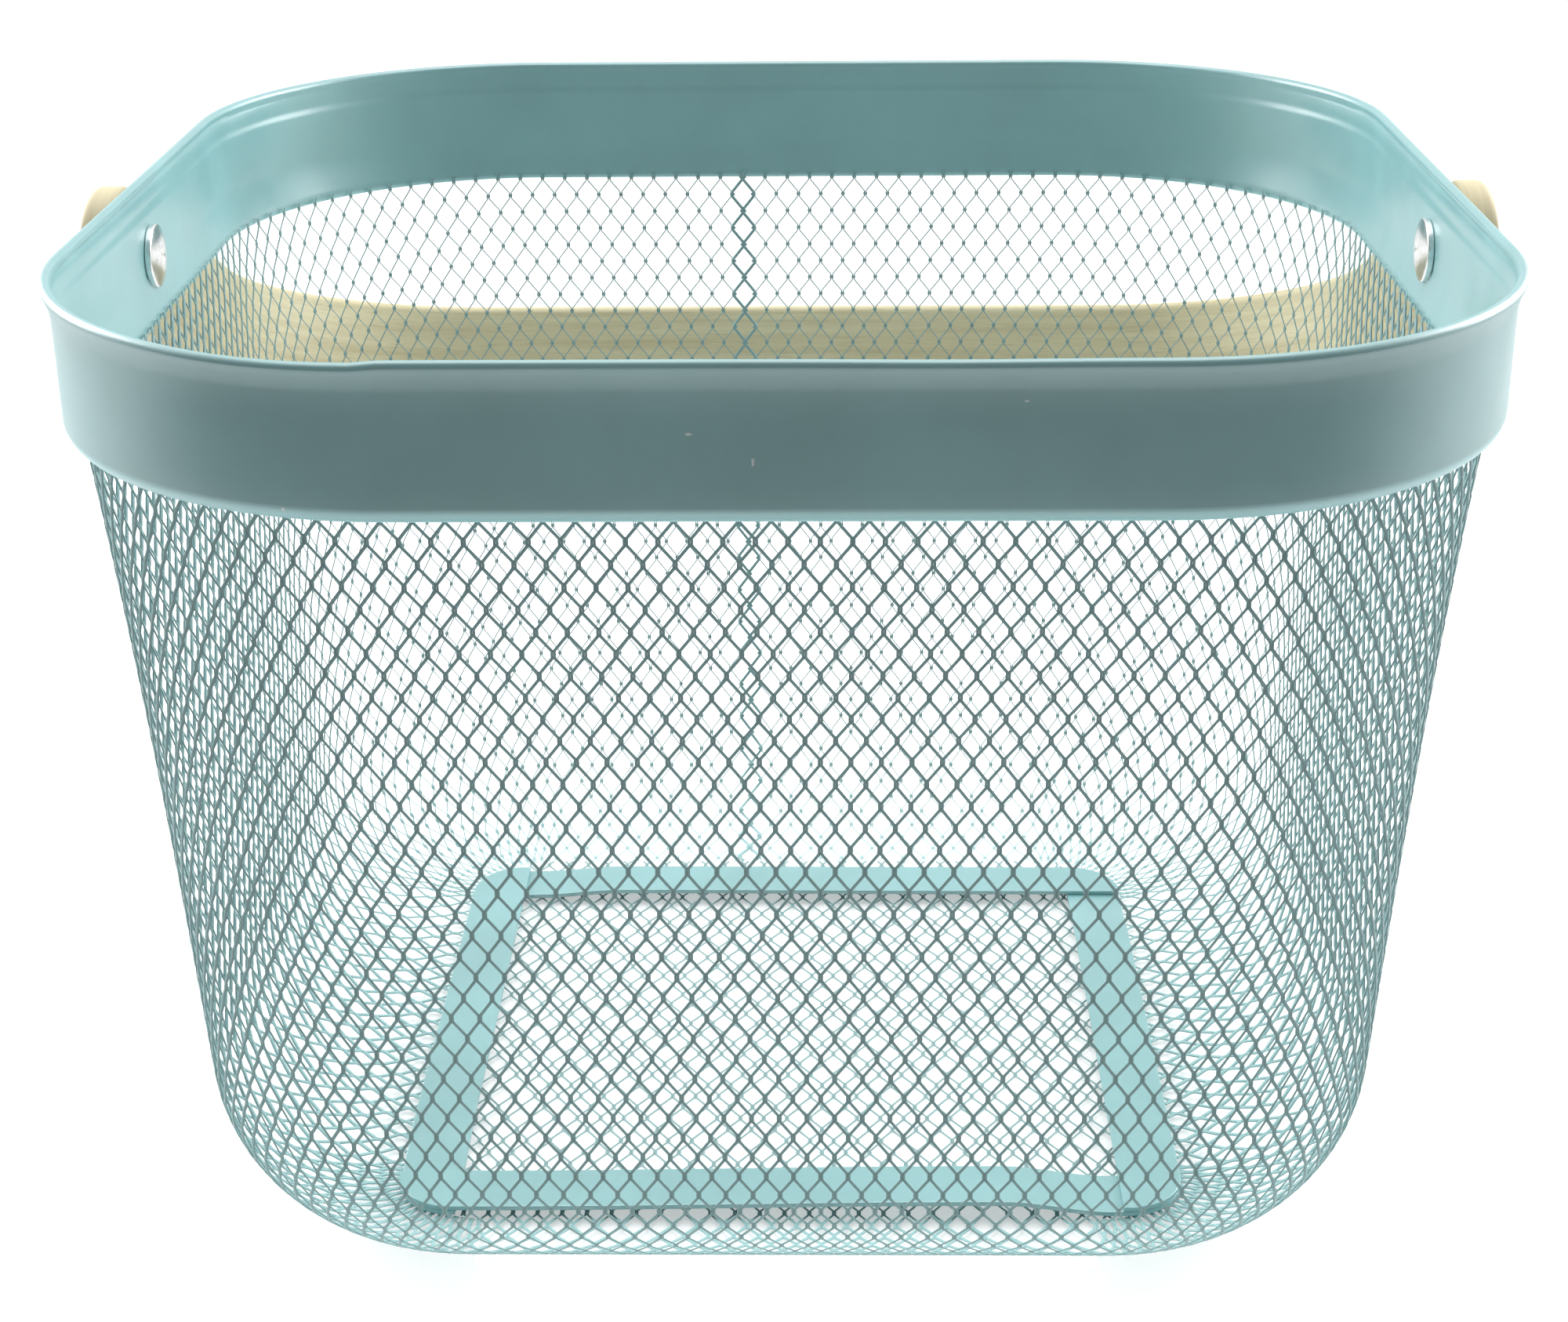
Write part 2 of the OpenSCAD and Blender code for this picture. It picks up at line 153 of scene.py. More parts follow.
class RimSizes(PropertyGroup):
    """Sizes of the sheet band."""
    width: length("Width", "Over the lip, left to right", RIM_HIGH.x - RIM_LOW.x)
    depth: length("Depth", "Over the lip, front to back", RIM_HIGH.y - RIM_LOW.y)
    top: length("Top", "Height of the lip", RIM_HIGH.z)
    height: length("Band height", "From the lip to the lower edge", RIM_HIGH.z - RIM_LOW.z)
    corner: length("Corner radius", "Of the lip, seen from above", 0.065)
    sheet: length("Sheet", "Thickness of the sheet", 0.0009)
    flare: length("Lip flare", "How far the lip stands out past the flat", 0.0013)
    flare_height: length("Lip height", "Height of the flared part", 0.006)
    bead: length("Bead radius", "Radius of the round bead along the lip", 0.00095)
    curl: length("Curl radius", "Outer radius of the turned-in lower edge", 0.003)
    curl_turn: angle("Curl angle", "Angle through which the lower edge turns in", 75)
    hem: length("Hem", "Height of the rolled hem, inside the lip", 0.0027)
    crease: length("Crease", "Half the height of the crease inside, between lip and flat", 0.001)
    closed: share("Closed", "How far the groove under the bead is pressed shut at the back", 0.9)
    ramp: length("Ramp", "Height over which the inner face draws in to the turned edge", 0.009)
    dip: length("Lip dip", "Depth of the shallow dent in the lip beside the front", 0.0005)


class MeshSizes(PropertyGroup):
    """Sizes of the expanded mesh."""
    taper: angle("Wall taper", "Of the wall from upright", 4.5)
    bend: length("Bend radius", "Between wall and floor, at mid thickness", 0.033)
    sheet: length("Solid thickness", "Thickness of the mesh in the packed solids", 0.0008)
    tuck: length("Tuck", "How far the mesh reaches up behind the band", 0.0012)
    tuck_gap: length("Tuck gap", "Between mesh and band", 0.00015)
    waist: length("Waist", "How far the wall is drawn in at mid height", 0.0009)
    columns: IntProperty(name="Columns", description="Diamonds round the tub", default=165)
    phase: share("Phase", "Place of the first column right of the front's middle, in columns", 0.83)
    stretch: share("Stretch", "How much wider the diamonds are at the back, and narrower at the front", 0.026)
    squeeze: share("Squeeze", "Share of the corners' narrowing that is spread over all columns", 0.6)
    first_row: length("First row", "Depth of the first row of bonds below the top edge", 0.0011)
    top_row: length("Top half row", "Half the length of a diamond near the top", 0.00387)
    top_count: IntProperty(name="Top half rows", description="Half rows of the shorter kind", default=11)
    half_row: length("Half row", "Half the length of a diamond", 0.0041)
    strand: length("Strand width", "Width of one strand across its face", 0.00066)
    gauge: length("Strand thickness", "Thickness of one strand with its coat", 0.00026)
    knot: length("Knot", "Width of a strand at its bonds", 0.00045)
    drawn: share("Drawn", "How much thinner the strands are where the sheet is stretched most", 0.62)
    side: share("Side", "How much wider the strands are where the sheet is stretched least", 0.35)
    tilt: angle("Strand tilt", "How far the strands are turned out of the wall", 27)
    floor_tilt: angle("Floor tilt", "The same where the mesh is pressed flat", 10)
    pressed: length("Pressed", "Height up to which the mesh is pressed flat", 0.001)
    rise: length("Rise", "Height over which the strands then turn to their full tilt", 0.012)
    # Painted bounce light: the mesh coat is painted lighter towards the foot of the bend, standing in for
    # light from the floor.
    foot_bounce_light: share("Paler", "How far the coat takes its turned-under tone at the foot of the bend", 0.9)
    bond: share("Bond", "Share of a half row that a bond takes at each end", 0.1)
    seam: number("Seam", "Place of the lapped seam past the back's middle, in columns", 2.35)
    lap: length("Lap", "How far the lapped strands of the seam lie inside the wall", 0.00045)
    lapped: number("Lapped", "How much thicker the lapped strands are", 2.8)
    floor_row: length("Floor half row", "Half the length of a floor diamond", 0.00405)


class FrameSizes(PropertyGroup):
    """Sizes of the strips on the floor."""
    strip: length("Strip width", "Width of a strip", 0.012)
    thick: length("Strip thickness", "Thickness of a strip", 0.001)
    corner: length("Corner radius", "Outer corners of the frame", 0.011)
    edge: length("Edge", "Rounding of a strip's edges", 0.00022)
    lap: length("Lap", "Length of the flat ends that lie over and under the neighbours", 0.014)
    crest: share("Crest", "Place along a strip where it is highest", 0.77)
    front_bow: length("Front bow", "How far the front strip bows up at its crest", 0.0012)
    bow: length("Bow", "How far the other strips bow up at their crests", 0.0003)


class HandleSizes(PropertyGroup):
    """Sizes of the wooden bow."""
    width: length("Strap width", "Width of the strap", 0.026)
    thick: length("Strap thickness", "Thickness of the strap", 0.007)
    edge: length("Edge", "Rounding of the strap's edges", 0.002)
    clear: length("Clearance", "Of the crosspiece beyond the lip", 0.010)
    bend: length("Bend radius", "Inside the bow's two bends", 0.05)


class RivetSizes(PropertyGroup):
    """Sizes of the rivets."""
    shank: length("Shank radius", "Radius of the shank", 0.0025)
    head: length("Head radius", "Radius of the domed head", 0.006)
    head_edge: length("Head edge", "Height of the head's straight edge", 0.0012)
    head_rise: length("Head rise", "Rise of the dome above its edge", 0.001)
    head_round: length("Head rounding", "Of the edge between dome and straight edge", 0.0003)
    dimple: length("Dimple radius", "Of the small dimple in the head", 0.0013)
    dimple_depth: length("Dimple depth", "Of the small dimple in the head", 0.0005)
    tail: length("Tail radius", "Of the rolled-over end", 0.00425)
    hollow: length("Hollow radius", "Of the hollow in the end", 0.0015)
    hollow_depth: length("Hollow depth", "Of the hollow in the end", 0.003)
    washer_edge: length("Washer edge", "Rounding of a washer's edges", 0.00015)
    spacer_edge: length("Spacer edge", "Rounding of a spacer's edges", 0.0003)
    bore_gap: length("Bore gap", "Between the shank and the rings on it", 0.00003)


class Finishes(PropertyGroup):
    """Colours and gloss of the finishes."""
    paint: colour("Paint", "Powder coat on band and strips", (0.245, 0.495, 0.51))
    # Painted shade: the mesh paint is a darker, greyer copy of the band's paint, standing in for the shade on
    # the strands.
    mesh: colour("Mesh paint", "Thinner coat on the mesh, dulled by the steel", (0.27, 0.435, 0.44))
    sheet_index: number("Sheet index", "Refractive index of the coat on band and strips", 2.2)
    mesh_index: number("Mesh index", "Refractive index of the coat on the mesh", 1.5)
    chip: colour("Chip", "Bare primer where the coat is chipped", (0.62, 0.72, 0.70))
    birch: colour("Birch", "Wood between its grain lines", (0.76, 0.68, 0.45))
    grain: colour("Grain", "Grain lines of the wood", (0.62, 0.52, 0.31))
    plating: colour("Plating", "Bright plating of rivets and washers", (0.88, 0.88, 0.87))
    nylon: colour("Nylon", "Moulded spacers", (0.78, 0.78, 0.74))


class BasketSettings(PropertyGroup):
    """All the settings of the basket."""
    rim: PointerProperty(type=RimSizes)
    mesh: PointerProperty(type=MeshSizes)
    frame: PointerProperty(type=FrameSizes)
    handle: PointerProperty(type=HandleSizes)
    rivet: PointerProperty(type=RivetSizes)
    finish: PointerProperty(type=Finishes)


def lay_out(settings):
    """Derived sizes. Every level of the basket is a core rectangle grown outward by a distance r."""
    rim, mesh = settings.rim, settings.mesh
    s = SimpleNamespace()
    s.core = np.array([rim.width / 2 - rim.corner, rim.depth / 2 - rim.corner])
    s.band_out = rim.corner - rim.flare
    s.band_in = s.band_out - rim.sheet
    s.lip_in = rim.corner - 2 * rim.bead
    s.lip_z = rim.top - rim.flare_height
    s.foot_z = rim.top - rim.height
    s.curl_z = s.foot_z + rim.curl * math.sin(rim.curl_turn)
    s.pivot_z = PIVOT["pos_m"][2]
    s.curl_tip = s.band_out - rim.curl + (rim.curl - rim.sheet) * math.cos(rim.curl_turn)
    s.mesh_top_z = s.foot_z + mesh.tuck
    s.mesh_top_r = s.curl_tip - mesh.tuck_gap - mesh.sheet / 2
    s.bend_z = mesh.sheet / 2 + mesh.bend
    sin, cos = math.sin(mesh.taper), math.cos(mesh.taper)
    s.bend_c = s.mesh_top_r + (-mesh.bend + (s.bend_z - s.mesh_top_z) * sin) / cos
    s.bend_r = s.bend_c + mesh.bend * cos
    s.wall_len = (s.mesh_top_z - s.bend_z + mesh.bend * sin) / cos
    s.mesh_len = s.wall_len + mesh.bend * (math.pi / 2 - mesh.taper)
    s.first = -mesh.first_row / mesh.top_row
    s.top_len = mesh.first_row + mesh.top_row * mesh.top_count
    s.last = mesh.top_count + (s.mesh_len - s.top_len) / mesh.half_row
    return s


def new_object(name, data):
    """New object, linked to the scene."""
    made = bpy.data.objects.new(name, data)
    bpy.context.scene.collection.objects.link(made)
    return made


def make_piece(name, points, quads, caps=(), material=None, body="basket", nodes=(), slot="paint",
               sharp=40, grain=None, turned=None):
    """Makes one closed mesh object from an array of points, an array of quads and optional cap outlines.

    The sign of the enclosed volume, summed over the faces fanned into triangles, turns all faces outward.
    turned is the share of painted bounce light at each point, which powder_coat reads: how far the sheet is
    turned under on the band, and how low a point lies on the mesh's bend.
    """
    points = np.asarray(points, float).reshape(-1, 3)
    quads = np.asarray(quads, np.int32).reshape(-1, 4)
    caps = [np.asarray(cap, np.int32) for cap in caps]
    fans = [quads[:, [0, 1, 2]], quads[:, [0, 2, 3]]]
    fans += [np.stack([np.full(len(cap) - 2, cap[0]), cap[1:-1], cap[2:]], 1) for cap in caps]
    a, b, c = np.moveaxis(points[np.concatenate(fans)], 1, 0)
    if np.einsum("ij,ij->i", a, np.cross(b, c)).sum() < 0:
        quads = quads[:, ::-1]
        caps = [cap[::-1] for cap in caps]
        grain = None if grain is None else grain[:, ::-1]
    mesh = bpy.data.meshes.new(name)
    faces = quads.tolist() + [cap.tolist() for cap in caps]
    mesh.from_pydata(points.tolist(), [], faces, shade_flat=False)
    mesh.set_sharp_from_angle(angle=math.radians(sharp))
    if grain is not None:
        flat = np.zeros((len(mesh.loops), 2), np.float32)
        flat[:grain.size // 2] = grain.reshape(-1, 2)
        mesh.uv_layers.new(name="grain").data.foreach_set("uv", flat.ravel())
    if turned is not None:
        mesh.attributes.new("turned", "FLOAT", "POINT").data.foreach_set("value", turned.astype(np.float32))
    if mesh.validate():
        raise RuntimeError(f"{name}: the mesh had faults")
    piece = new_object(name, mesh)
    mesh.materials.append(material)
    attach(piece, body)
    if nodes:
        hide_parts(*nodes)
    return piece


def grid_quads(rows, cols, close_rows=False, close_cols=False):
    """Corner indices of the quads of a grid of points, wrapped round in the closed directions."""
    i = np.arange(rows if close_rows else rows - 1)[:, None]
    j = np.arange(cols if close_cols else cols - 1)[None, :]
    i2, j2 = (i + 1) % rows, (j + 1) % cols
    return np.stack([i * cols + j, i2 * cols + j, i2 * cols + j2, i * cols + j2], -1).reshape(-1, 4)


def tube(rows, sides):
    """Quads of a tube made of rings of points, and the outlines of its ends, all facing one way."""
    ring = np.arange(sides)
    return grid_quads(rows, sides, close_cols=True), [ring, ring[::-1] + (rows - 1) * sides]


def arc(centre, radius, start, end, count):
    """Points on a circle from a start to an end angle, in degrees."""
    a = np.radians(np.linspace(start, end, count))
    return np.stack([centre[0] + radius * np.cos(a), centre[1] + radius * np.sin(a)], 1)


def core_walk(core, t):
    """Foot on the core rectangle and outward angle at t, which counts the runs from the front's left end.

    The runs are the four flats and the four corners. On a flat the foot moves along the side, on a corner it
    stays and the angle turns by a quarter.
    """
    t = np.mod(t, 8)
    run = np.floor(t).astype(int)
    part = t - run
    x = np.array([-1, 1, 1, 1, 1, -1, -1, -1, -1]) * core[0]
    y = np.array([-1, -1, -1, 1, 1, 1, 1, -1, -1]) * core[1]
    foot_x = x[run] + part * (x[run + 1] - x[run])
    foot_y = y[run] + part * (y[run + 1] - y[run])
    return foot_x, foot_y, (run // 2 + np.where(run % 2, part, 0) - 1) * math.pi / 2


def column_turn(lay, mesh, column, r):
    """Place on the core rectangle, as core_walk counts it, of a column at a level that is grown by r.

    Columns are counted to the right from the front's middle. Their share of the whole way round is bent by a
    sine, which makes them wider at the back, and is then laid out along the flats and the corners' arcs. They
    draw together a little down the wall. Over the bend they close up in the corners only.
    """
    mixed = lay.mesh_top_r + mesh.squeeze * (np.maximum(r, lay.bend_r) - lay.mesh_top_r)
    whole = 4 * lay.core.sum() + 2 * math.pi * mixed
    turn = np.mod(column / mesh.columns, 1)
    along = whole * (turn - mesh.stretch / (2 * math.pi) * np.sin(2 * math.pi * turn))
    corner = mixed * math.pi / 2
    t, start = 0.5, 0.0
    x, y = lay.core
    for flat, weight in ((x, 0.5), (2 * y, 1), (2 * x, 1), (2 * y, 1), (x, 0.5)):
        t = t + weight * np.clip((along - start) / flat, 0, 1)
        t = t + np.clip((along - start - flat) / corner, 0, 1)
        start = start + flat + corner
    return t


def tub_surface(lay, mesh, column, s):
    """Points, sideways tangents and outward normals of the tub at a column and a length s down from its top.

    The profile is a tapered line, drawn in a little at its waist, and then an arc of the bend radius. It is
    carried round the core.
    """
    over = np.maximum(s - lay.wall_len, 0)
    down = np.minimum(s, lay.wall_len)
    a = mesh.taper + over / mesh.bend
    drawn = mesh.waist * np.sin(math.pi * (down / lay.wall_len) ** WAIST_CURVE)
    wall_r = lay.mesh_top_r - down * math.sin(mesh.taper) - drawn
    wall_z = lay.mesh_top_z - down * math.cos(mesh.taper)
    r = np.where(over > 0, lay.bend_c + mesh.bend * np.cos(a), wall_r)
    z = np.where(over > 0, lay.bend_z - mesh.bend * np.sin(a), wall_z)
    foot_x, foot_y, around = core_walk(lay.core, column_turn(lay, mesh, column, r))
    cos, sin = np.cos(around), np.sin(around)
    point = np.stack([foot_x + r * cos, foot_y + r * sin, z], -1)
    tangent = np.stack([-sin, cos, 0 * sin], -1)
    normal = np.stack([np.cos(a) * cos, np.cos(a) * sin, -np.sin(a)], -1)
    return point, tangent, normal


def zigzag(first, last, bond):
    """Half rows at which a ribbon has a ring, how far it has swung over there, and how much of a knot it is.

    The swing is a triangle wave from 0 to 1, held still over each bond, and its corners are cut by two rings
    each. The knot is 1 at the inner pair of rings and 0 at the outer pair.
    """
    j = np.arange(math.floor(first), math.ceil(last) + 1)[:, None]
    rings = bond * np.array([-KNOT_OUTER, -KNOT_INNER, KNOT_INNER, KNOT_OUTER])
    p = np.clip(j + rings, first, last).ravel()
    p = p[np.concatenate([[True], np.diff(p) > 1e-6])]
    wave = np.abs(np.mod(p + 1, 2) - 1)
    off = np.abs(p - np.round(p)) / bond
    return p, np.clip((wave - bond) / (1 - 2 * bond), 0, 1), np.clip(KNOT_OUTER - off, 0, 1)


def ribbons(surface, columns, hands, strand, span, mesh, length_at, tilt_at, sunk=0.0, thick=1.0):
    """Zigzag ribbons of a lattice: a flat six-sided section on a path that swings by half a column.

    At each bond a ribbon lies beside its neighbour, half a knot from the bond's middle. Between the bonds the
    section is turned about the strand by the tilt, so that its upper edge stands out of the surface, and at a
    bond the turn passes through nought as the ribbon leans back. hands is +1 for a ribbon that swings to the
    next half column and -1 for one that swings back. strand is the width of each ribbon between its knots,
    and its thickness there is in proportion. The ribbons of a seam are sunk into the wall and thicker.
    """
    p, swing, knot = zigzag(*span, mesh.bond)
    columns, hands, strand = (np.asarray(v, float)[:, None] for v in (columns, hands, strand))
    place = columns + hands * 0.5 * swing
    point, tangent, normal = surface(place, np.broadcast_to(length_at(p), place.shape))
    along = np.gradient(point, axis=1)
    along /= np.linalg.norm(along, axis=-1, keepdims=True)
    beside = np.cross(normal, along)
    lean = np.sum(along * tangent, -1, keepdims=True)
    tilt = tilt_at(point)[..., None] * lean / np.abs(lean).max()
    across = np.cos(tilt) * beside + np.sin(tilt) * normal
    through = np.cos(tilt) * normal - np.sin(tilt) * beside
    aside = (hands * np.sign(0.5 - swing) * knot * mesh.knot / 2)[..., None]
    centre = point + aside * tangent - sunk * normal
    half = (thick / 2 * (strand + (mesh.knot - strand) * knot))[..., None, None]
    gauge = (thick / 2 * mesh.gauge * (strand / mesh.strand * (1 - knot) + knot))[..., None, None]
    a, b = STRAND_SECTION.T[..., None]
    rings = centre[:, :, None] + half * a * across[:, :, None] + gauge * b * through[:, :, None]
    count, steps, sides = rings.shape[:3]
    quads, ends = tube(steps, sides)
    bases = np.arange(count) * steps * sides
    caps = [base + end for base in bases for end in ends]
    return rings.reshape(-1, 3), (quads[None] + bases[:, None, None]).reshape(-1, 4), caps


def merge(parts):
    """Joins several sets of points, quads and caps into one."""
    points, quads, caps, base = [], [], [], 0
    for p, q, c in parts:
        points.append(p)
        quads.append(q + base)
        caps += [cap + base for cap in c]
        base += len(p)
    return np.concatenate(points), np.concatenate(quads), caps


def lathe(profile, side, height, count=64):
    """Points of a piece turned about the line through the pivots, from a profile of distance x and radius."""
    a = np.linspace(0, 2 * math.pi, count, endpoint=False)
    x, r = np.asarray(profile, float).T[..., None]
    return np.stack([np.broadcast_to(side * x, (len(x), count)), r * np.cos(a), height + r * np.sin(a)], -1)


def add(tree, kind, inputs=None, output=0, **settings):
    """Adds a shader node, sets or links its inputs by name or number, and gives one output."""
    made = tree.nodes.new("ShaderNode" + kind)
    for key, value in settings.items():
        setattr(made, key, value)
    for key, value in (inputs or {}).items():
        if isinstance(value, bpy.types.NodeSocket):
            tree.links.new(value, made.inputs[key])
        else:
            made.inputs[key].default_value = value
    return made.outputs[output]


def new_finish(name, roughness, **shader):
    """New material and its nodes, with the shader's constant inputs set on its own sockets."""
    material = bpy.data.materials.new(name)
    material.use_nodes = True
    for key, value in {"Roughness": roughness, **shader}.items():
        material.node_tree.nodes["Principled BSDF"].inputs[key].default_value = value
    return material, material.node_tree


def noise(tree, vector, scale, detail=2.0, rough=0.5):
    """Noise texture's grey output at a scale per metre."""
    return add(tree, "TexNoise", {"Vector": vector, "Scale": scale, "Detail": detail, "Roughness": rough})


def spread(tree, value, low, high, to_low=0.0, to_high=1.0):
    """Maps a value from one range to another and holds it there."""
    return add(tree, "MapRange", {"Value": value, "From Min": low, "From Max": high,
                                  "To Min": to_low, "To Max": to_high})


def blend(tree, factor, first, second):
    """Mixes two colours, which are the inputs 6 and 7 and the output 2 of a Mix node."""
    return add(tree, "Mix", {0: factor, 6: first, 7: second}, 2, data_type="RGBA")


def rgba(value, factor=1.0):
    """Colour with its alpha, lightened or darkened by a factor."""
    return (*[min(1.0, c * factor) for c in value], 1.0)


def dress(tree, tint, height, strength, distance=0.0001, rough=None):
    """Links a tint, a bump from a height and, where there is one, a map of roughness to the shader."""
    shader = tree.nodes["Principled BSDF"].inputs
    bump = add(tree, "Bump", {"Height": height, "Strength": strength, "Distance": distance})
    for key, value in (("Base Color", tint), ("Normal", bump), ("Roughness", rough)):
        if value is not None:
            tree.links.new(value, shader[key])


def powder_coat(name, finish, paint, index, chips=()):
    """Satin powder coat: fine orange peel, cloudy shade and gloss, and small chips at given places.

    The coat is painted lighter where the sheet is turned under, as painted bounce light from the floor. A
    chip is where the distance to its centre, shaken by a fine noise, falls below its radius.
    """
    material, tree = new_finish(name, 0.32, IOR=index)
    place = add(tree, "TexCoord", output="Object")
    cloud = noise(tree, place, scale=38, detail=3)
    peel = noise(tree, place, scale=1300)
    tint = blend(tree, spread(tree, cloud, 0.35, 0.65), rgba(paint, 0.94), rgba(paint, 1.05))
    turned = add(tree, "Attribute", output="Fac", attribute_name="turned")
    # Painted bounce light: lighter paint where the turned attribute is set.
    tint = blend(tree, turned, tint, rgba(paint, BOUNCE_LIGHT_TONE))
    rough = spread(tree, noise(tree, place, scale=90, detail=3), 0.3, 0.7, 0.285, 0.37)
    shaken = noise(tree, place, scale=2600)
    for x, y, z, radius, tall, tone in chips:
        moved = add(tree, "Mapping", {"Vector": place, "Location": (-x, -y, -z / tall),
                                      "Scale": (1, 1, 1 / tall)})
        far = add(tree, "VectorMath", {0: moved}, "Value", operation="LENGTH")
        near = add(tree, "Math", {0: shaken, 1: radius * CHIP_SHAKE, 2: far}, operation="MULTIPLY_ADD")
        mask = spread(tree, near, radius * (CHIP_SHAKE + CHIP_EDGE), radius * CHIP_SHAKE)
        tint = blend(tree, mask, tint, rgba(finish.chip if tone > 0 else paint, abs(tone)))
    dress(tree, tint, peel, strength=0.12, distance=0.00012, rough=rough)
    return material


def bent_birch(finish):
    """Pale wood whose grain runs along the strap: long streaks, fine pores and a slow change of tone.

    The grain map holds the length along the strap and the way round its section, in metres.
    """
    material, tree = new_finish("birch", 0.55)
    uv = add(tree, "UVMap", uv_map="grain")

    def stretched(along, around, **kind):
        return noise(tree, add(tree, "Mapping", {"Vector": uv, "Scale": (along, around, 1)}), scale=1, **kind)

    streaks = stretched(14, 420, detail=4, rough=0.6)
    pores = stretched(130, 3800)
    tone = stretched(6, 45)
    wood = blend(tree, spread(tree, streaks, 0.38, 0.68), rgba(finish.birch), rgba(finish.grain))
    wood = blend(tree, spread(tree, tone, 0.3, 0.7, 0, 0.35), wood, rgba(finish.birch, 1.12))
    wood = blend(tree, spread(tree, pores, 0.58, 0.72, 0, 0.5), wood, rgba(finish.grain, 0.72))
    rough = spread(tree, streaks, 0.3, 0.7, 0.48, 0.62)
    dress(tree, wood, pores, strength=0.25, rough=rough)
    return material


def bright_plating(finish):
    """Polished plating with fine scuffs that vary its gloss."""
    material, tree = new_finish("plating", 0.2, Metallic=1.0)
    place = add(tree, "TexCoord", output="Object")
    scuff = noise(tree, place, scale=900, detail=4, rough=0.6)
    tint = blend(tree, spread(tree, scuff, 0.4, 0.7), rgba(finish.plating), rgba(finish.plating, 0.86))
    rough = spread(tree, scuff, 0.3, 0.7, 0.17, 0.265)
    dress(tree, tint, scuff, strength=0.06, rough=rough)
    return material


def moulded_nylon(finish):
    """Matt moulded nylon with a faint mottle."""
    material, tree = new_finish("nylon", 0.5)
    place = add(tree, "TexCoord", output="Object")
    mottle = noise(tree, place, scale=500, detail=3)
    tint = blend(tree, spread(tree, mottle, 0.35, 0.65), rgba(finish.nylon, 0.95), rgba(finish.nylon, 1.03))
    dress(tree, tint, mottle, strength=0.08)
    return material


class BASKET_OT_band(Operator):
    """Makes the sheet band with its flared lip and turned-in lower edge."""
    bl_idname = "basket.band"
    bl_label = "Rim Band"

    def execute(self, context):
        settings = context.scene.basket
        rim, finish, lay = settings.rim, settings.finish, lay_out(settings)
        profile, groove, turned = self.section(rim, lay)
        counts = (FLAT_STEPS, CORNER_STEPS) * 4
        steps = np.concatenate([run + np.linspace(0, 1, n, endpoint=False) for run, n in enumerate(counts)])
        x, y, around = core_walk(lay.core, steps)
        shut = rim.closed * np.clip(CLOSING * np.sin(around), 0, 1)
        r = profile[:, 0] - shut[:, None] * groove
        dent = sum(deep * np.exp(-((steps - place) / wide) ** 2) for place, wide, deep in LIP_DENTS)
        lifted = np.clip((profile[:, 1] - lay.lip_z) / rim.flare_height, 0, 1)
        z = profile[:, 1] - rim.dip * dent[:, None] * lifted
        points = np.stack([x[:, None] + r * np.cos(around)[:, None],
                           y[:, None] + r * np.sin(around)[:, None], z], -1)
        coat = powder_coat("band_coat", finish, finish.paint, finish.sheet_index, BAND_CHIPS)
        make_piece("band_sheet", points, grid_quads(len(steps), len(profile), True, True), material=coat,
                   nodes=["rim_band"], turned=np.tile(turned, len(steps)))
        return {"FINISHED"}

    def section(self, rim, lay):
        """Closed profile of distance r and height z: from the turned edge up the outside and over the bead.

        Also each point's depth in the groove under the bead, and how far the sheet is turned under there,
        which sets the painted bounce light on the turned edge.
        """
        turn = math.degrees(rim.curl_turn)
        curl = arc((lay.band_out - rim.curl, lay.curl_z), rim.curl, -turn, 0, 9)
        flat_z = np.linspace(lay.curl_z, lay.lip_z, 6)[1:-1]
        flare = np.linspace(0, 1, 7)[1:-1]
        flare_r = lay.band_out + rim.flare * flare ** FLARE_CURVE
        flare_z = lay.lip_z + (rim.top - rim.bead - lay.lip_z) * flare
        bead_turn = (-20, 232, 14)  # from, to, and the number of points
        bead = arc((rim.corner - rim.bead, rim.top - rim.bead), rim.bead, *bead_turn)
        hem = np.array([lay.lip_in, rim.top - rim.hem])
        fold = np.linspace(0, 1, 7)
        fold_r = lay.band_in + (lay.lip_in - lay.band_in) * (1 + np.cos(math.pi * fold)) / 2
        fold_z = lay.lip_z + rim.crease * (1 - 2 * fold)
        ramp = np.linspace(0, 1, 8)
        ramp_r = lay.band_in + (lay.curl_tip - lay.band_in) * ramp ** RAMP_CURVE
        ramp_z = lay.foot_z + rim.ramp + (rim.sheet - rim.ramp) * ramp
        outside = np.concatenate([curl, np.stack([np.full(len(flat_z), lay.band_out), flat_z], 1),
                                  np.stack([flare_r, flare_z], 1)])
        profile = np.concatenate([
            outside, bead, [hem + HEM_EDGE, hem, (lay.lip_in, lay.lip_z + 1.4 * rim.crease)],
            np.stack([fold_r, fold_z], 1), np.stack([ramp_r, ramp_z], 1),
        ])
        groove = np.clip(profile[:, 0] - lay.lip_in, 0, None)
        groove[:len(outside) + np.sum(np.linspace(*bead_turn) < 180)] = 0
        turned = np.zeros(len(profile))
        # Painted bounce light on the curl: full over most of it, fading where it meets the outer face.
        turned[:len(curl)] = np.clip(np.linspace(4, 0, len(curl)), 0, 1)
        return profile, groove, turned


